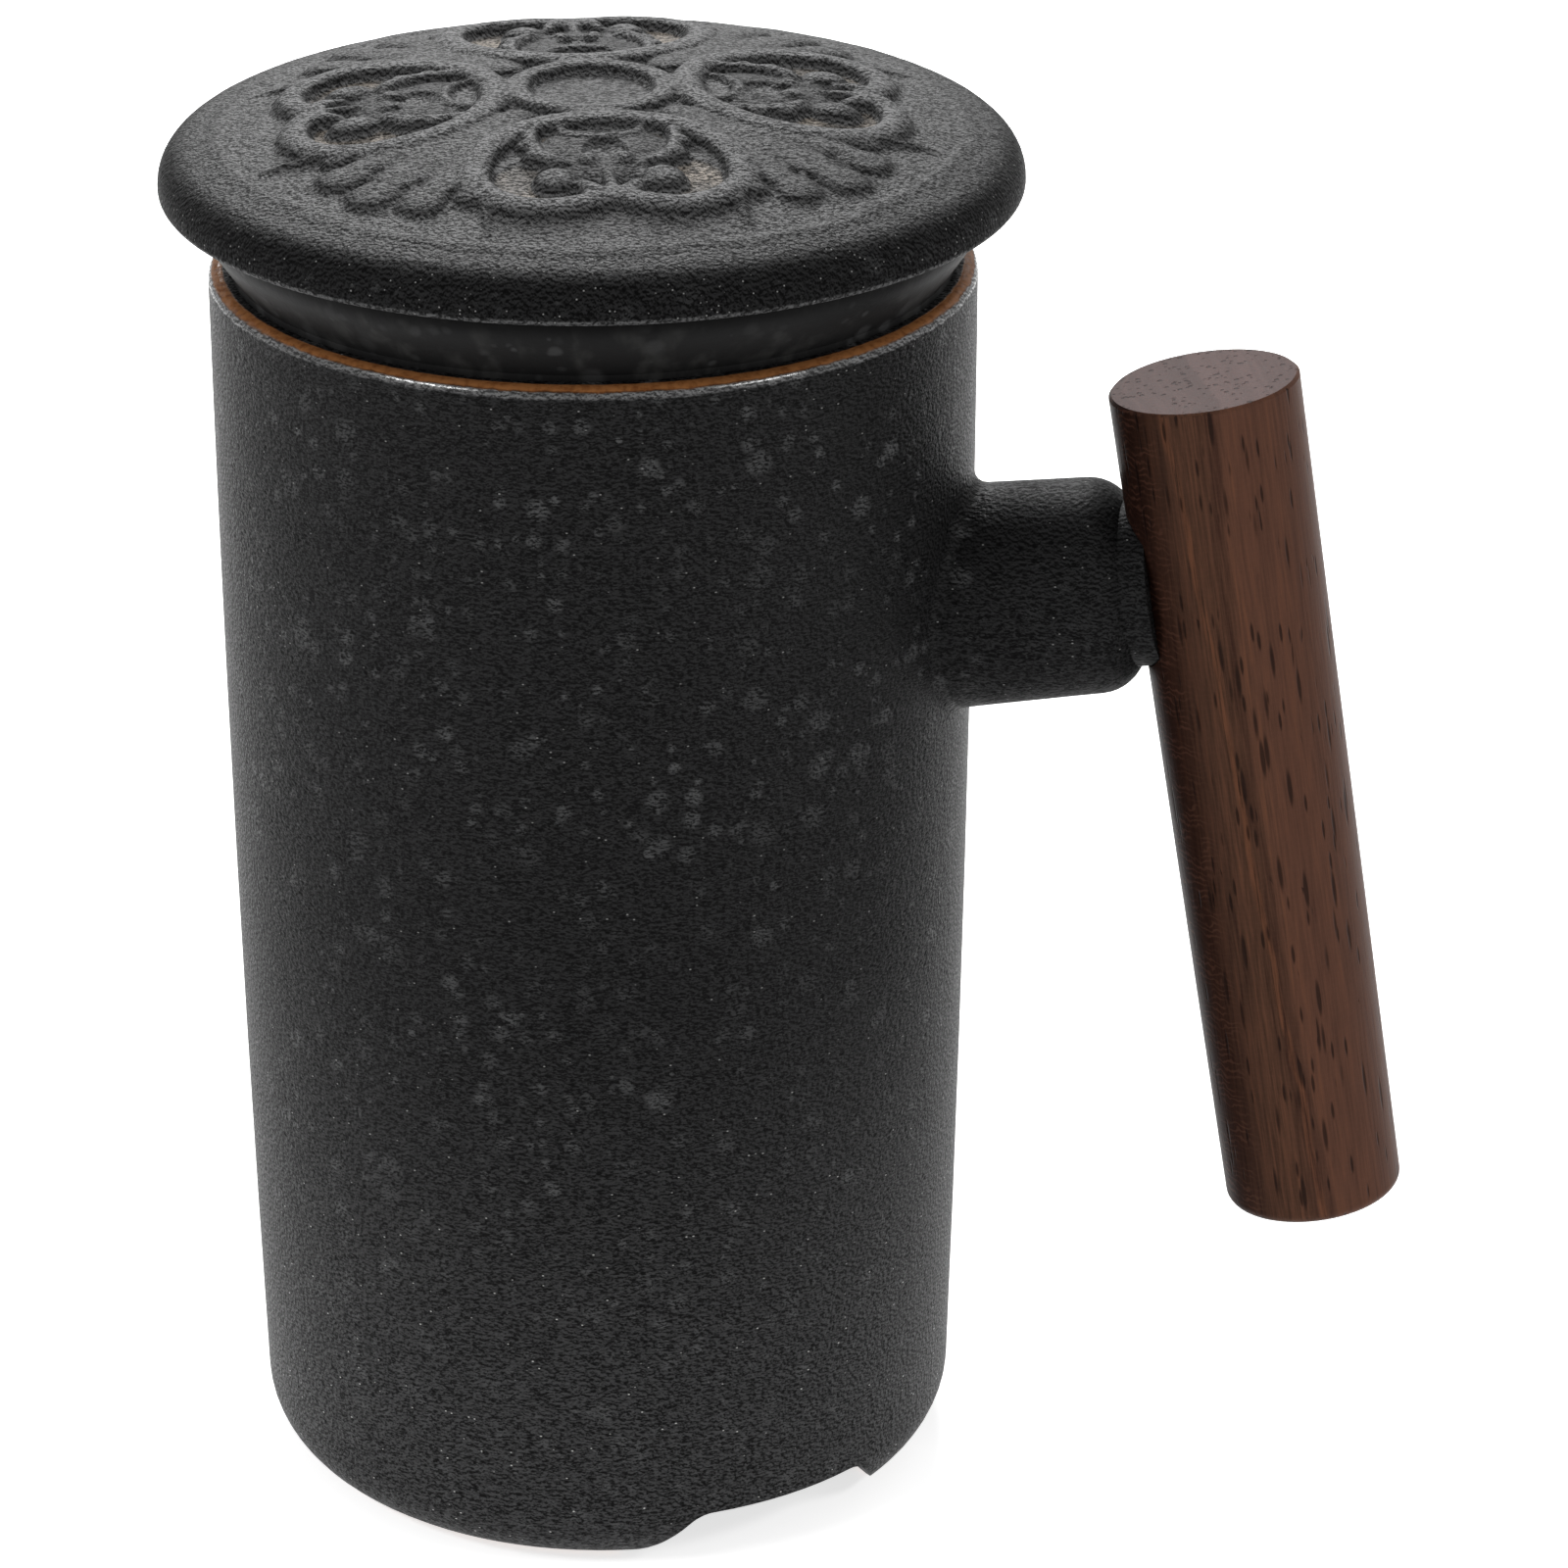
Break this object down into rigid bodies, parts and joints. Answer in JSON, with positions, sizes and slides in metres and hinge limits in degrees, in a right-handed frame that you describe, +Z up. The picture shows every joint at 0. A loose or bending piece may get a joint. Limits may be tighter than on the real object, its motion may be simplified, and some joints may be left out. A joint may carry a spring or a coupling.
{
  "type": "tea infuser mug",
  "caption": "Tall stoneware tea mug with a wooden side grip on a stub arm, a lift-out perforated infuser and an overhanging domed lid with a carved ornament.",
  "frame": {"origin": "on the mug's axis, at the surface that the foot ring stands on", "axes": "+Z up, +X from the mug's axis towards the handle, so that the handle lies in the XZ plane"},
  "size_m": [0.1245, 0.084, 0.1457],
  "materials": {
    "stoneware": "matt black speckled glaze",
    "infuser_glaze": "smooth matt black glaze",
    "lid_glaze": "matt black speckled glaze",
    "hardwood": "oiled dark reddish-brown hardwood",
    "steel": "plain",
    "potting": "cured epoxy"
  },
  "bodies": {
    "mug": {"mug_body": "stoneware", "handle_grip": "hardwood", "handle_stud": "steel", "stud_bond": "potting"},
    "infuser": {"infuser_basket": "infuser_glaze"},
    "lid": {"lid": "lid_glaze"}
  },
  "joints": [
    {"name": "infuser_lift", "type": "slide", "parent": "mug", "child": "infuser", "axis": [0, 0, 1], "range_m": [0, 0.075]},
    {"name": "lid_lift", "type": "slide", "parent": "infuser", "child": "lid", "axis": [0, 0, 1], "range_m": [0, 0.045]}
  ]
}
